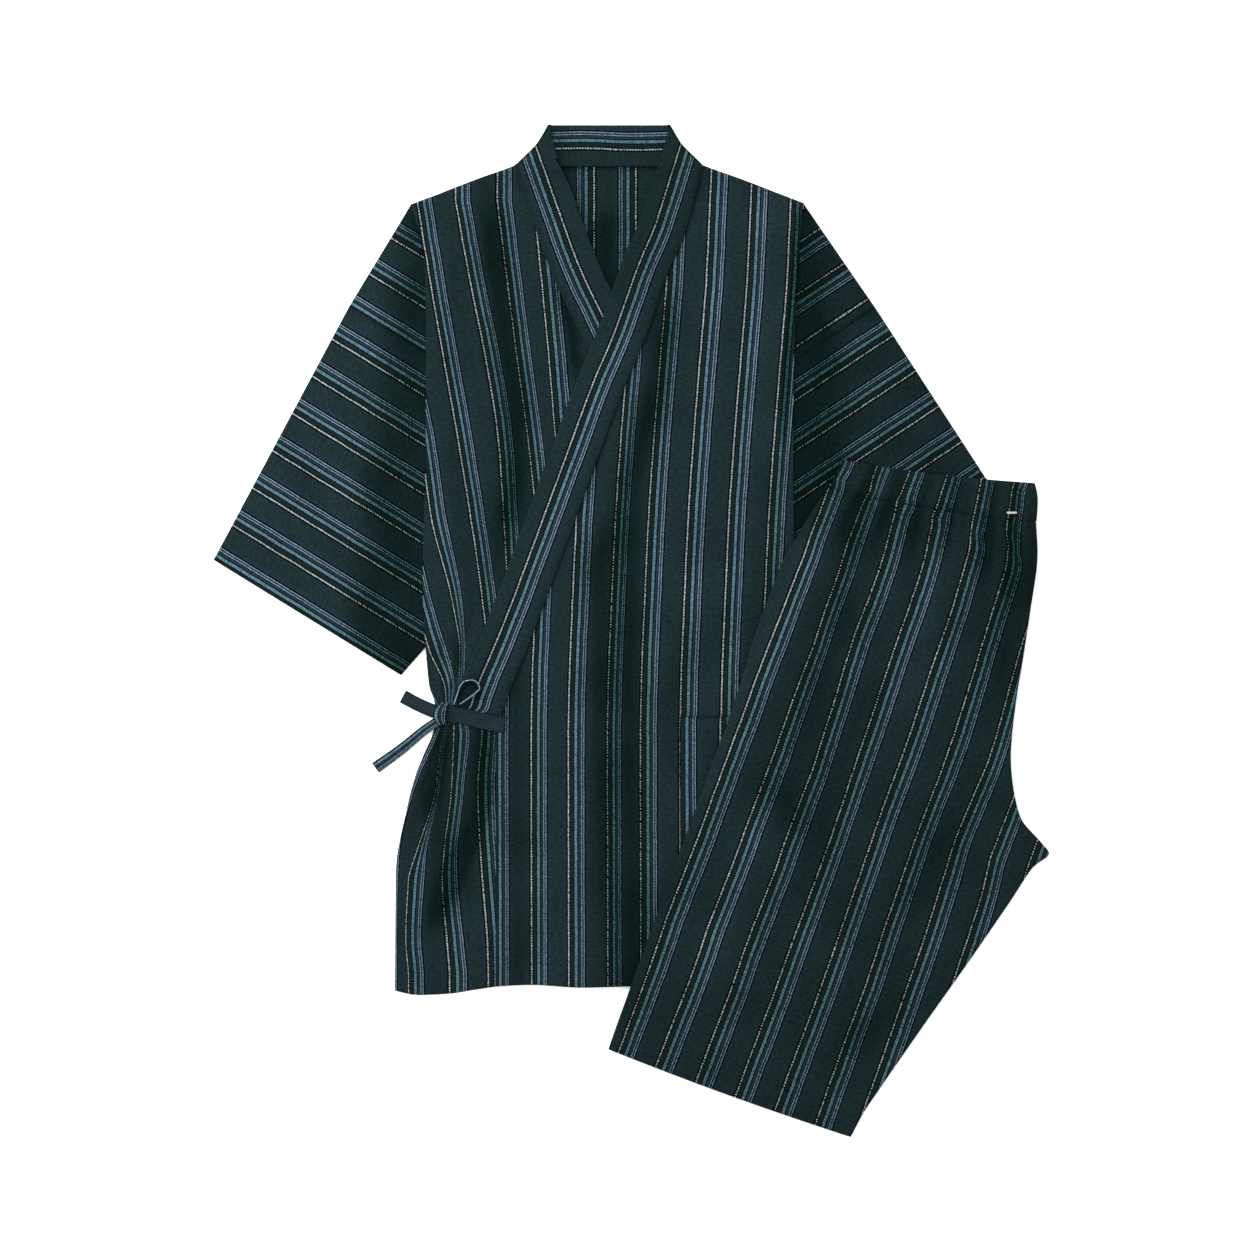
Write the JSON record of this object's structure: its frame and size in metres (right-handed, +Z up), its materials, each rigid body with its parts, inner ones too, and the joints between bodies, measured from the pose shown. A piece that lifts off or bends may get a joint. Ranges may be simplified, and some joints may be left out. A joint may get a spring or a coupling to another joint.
{
  "type": "jinbei set, wrap jacket and short trousers laid out flat",
  "caption": "Navy striped cotton jinbei laid out flat: wrap jacket with collar band, tied at its side, and folded short trousers laid over its lower corner.",
  "frame": {"origin": "middle of the underside's box, on the surface that the set lies on", "axes": "+Y from the hems to the collar, +X to the wearer's left sleeve, +Z up from the surface"},
  "size_m": [0.7776, 0.9425, 0.0168],
  "materials": {
    "striped_cotton": "crinkled matt cotton, dark navy with white, blue and pale blue lengthwise stripes",
    "plain_cotton": "matt cotton between the stripes, dark navy",
    "white_thread": "white sewing thread"
  },
  "bodies": {
    "root": {"back": "striped_cotton", "collar_back": "striped_cotton", "collar_left": "striped_cotton", "collar_right": "striped_cotton", "front_mark": "white_thread", "left_front": "striped_cotton", "left_front_shoulder": "striped_cotton", "left_sleeve": "striped_cotton", "pocket": "striped_cotton", "right_front": "striped_cotton", "right_front_shoulder": "striped_cotton", "right_sleeve": "striped_cotton", "tie_end_lower": "striped_cotton", "tie_end_upper": "plain_cotton", "tie_knot": "striped_cotton", "tie_loop": "striped_cotton", "tie_strap": "plain_cotton", "trouser_leg": "striped_cotton", "trouser_under": "striped_cotton", "waistband": "striped_cotton"}
  },
  "joints": []
}
